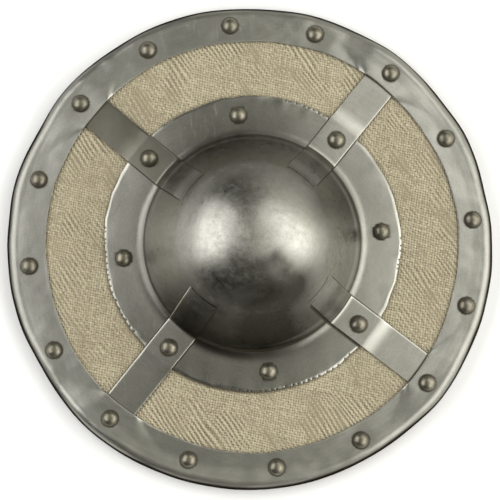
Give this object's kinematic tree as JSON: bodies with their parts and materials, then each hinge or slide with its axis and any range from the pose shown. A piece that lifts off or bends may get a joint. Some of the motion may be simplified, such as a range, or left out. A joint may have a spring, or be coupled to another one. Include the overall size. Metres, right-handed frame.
{
  "type": "buckler",
  "caption": "Round hand shield: linen-faced wooden board, domed steel boss, radial steel straps, riveted folded rim and a wrapped bar grip behind the hollow boss.",
  "frame": {"origin": "on the ground under the middle of the rim's box, with the shield lying on the roll of its rim, face up", "axes": "+Z out of the shield's face through the boss; +X along the grip; the straps run out along the diagonals between X and Y"},
  "size_m": [0.3193, 0.3188, 0.0848],
  "materials": {
    "hammered_steel": "hammered and brushed, satin, with worn bright edges",
    "polished_steel": "polished with fine scratches",
    "strap_steel": "brushed flat bar with cross scratches",
    "rivet_steel": "aged, slightly browned round heads",
    "grip_iron": "dark forged bar",
    "linen": "coarse undyed plain weave glued to the board",
    "board_wood": "oiled planed wood",
    "grip_leather": "dark worn leather sewn round the bar"
  },
  "bodies": {
    "root": {"board": "board_wood", "canvas": "linen", "rim": "hammered_steel", "boss": "polished_steel", "strap_1": "strap_steel", "strap_2": "strap_steel", "strap_3": "strap_steel", "strap_4": "strap_steel", "rim_rivet_01": "rivet_steel", "rim_rivet_02": "rivet_steel", "rim_rivet_03": "rivet_steel", "rim_rivet_04": "rivet_steel", "rim_rivet_05": "rivet_steel", "rim_rivet_06": "rivet_steel", "rim_rivet_07": "rivet_steel", "rim_rivet_08": "rivet_steel", "rim_rivet_09": "rivet_steel", "rim_rivet_10": "rivet_steel", "rim_rivet_11": "rivet_steel", "rim_rivet_12": "rivet_steel", "rim_rivet_13": "rivet_steel", "rim_rivet_14": "rivet_steel", "rim_rivet_15": "rivet_steel", "rim_rivet_16": "rivet_steel", "boss_rivet_1": "rivet_steel", "boss_rivet_2": "rivet_steel", "boss_rivet_3": "rivet_steel", "boss_rivet_4": "rivet_steel", "boss_rivet_5": "rivet_steel", "boss_rivet_6": "rivet_steel", "boss_rivet_7": "rivet_steel", "boss_rivet_8": "rivet_steel", "grip": "grip_iron", "grip_wrap": "grip_leather"}
  },
  "joints": []
}
